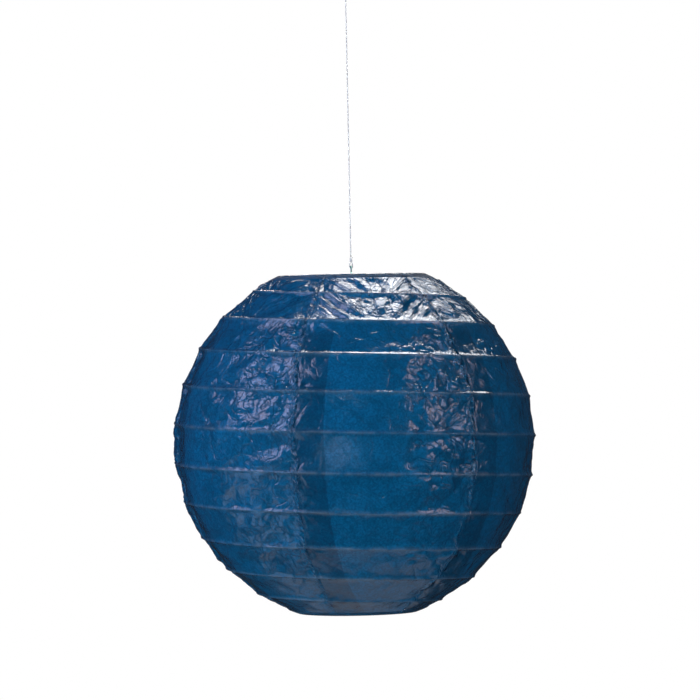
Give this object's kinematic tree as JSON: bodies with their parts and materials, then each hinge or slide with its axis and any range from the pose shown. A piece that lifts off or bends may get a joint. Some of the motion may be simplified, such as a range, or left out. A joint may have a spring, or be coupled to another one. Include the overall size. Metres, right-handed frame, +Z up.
{
  "type": "hanging paper lantern",
  "caption": "Round accordion paper lantern on a spiral rib, held open by a bent wire expander and hung on a clear line.",
  "frame": {"origin": "bearing point of the hanging loop: the inside of the top loop, where a hook or nail touches it", "axes": "+Z up along the line, away from the lantern; the lantern's front is -Y; the expander lies in the YZ plane"},
  "size_m": [0.25, 0.25, 0.4493],
  "materials": {
    "blue_paper": "satin",
    "rib_wire": "satin",
    "rim_wire": "satin",
    "expander_wire": "satin",
    "clear_nylon": "gloss"
  },
  "bodies": {
    "hanger": {"top_loop": "clear_nylon", "top_knot": "clear_nylon"},
    "line": {"hanging_line": "clear_nylon", "lower_knot": "clear_nylon", "lower_loop": "clear_nylon"},
    "expander": {"expander": "expander_wire"},
    "shade": {"gore_1": "blue_paper", "gore_2": "blue_paper", "gore_3": "blue_paper", "gore_4": "blue_paper", "gore_5": "blue_paper", "gore_6": "blue_paper", "rib_spiral": "rib_wire", "top_rim_ring": "rim_wire"},
    "bottom_ring": {"bottom_rim_ring": "rim_wire"}
  },
  "joints": [
    {"name": "line_swing", "type": "hinge", "parent": "hanger", "child": "line", "pos_m": [0, 0, -0.02405], "axis": [1, 0, 0], "range_deg": [-25, 25]},
    {"name": "lantern_sway", "type": "hinge", "parent": "line", "child": "expander", "pos_m": [0, 0, -0.21035], "axis": [0, 1, 0], "range_deg": [-25, 25]},
    {"name": "shade_turn", "type": "hinge", "parent": "expander", "child": "shade", "pos_m": [0, 0, -0.21729], "axis": [0, 0, 1], "continuous": true},
    {"name": "collapse", "type": "slide", "parent": "shade", "child": "bottom_ring", "axis": [0, 0, 1], "range_m": [0, 0.19], "deforming": ["gore_1", "gore_2", "gore_3", "gore_4", "gore_5", "gore_6", "rib_spiral"]}
  ]
}
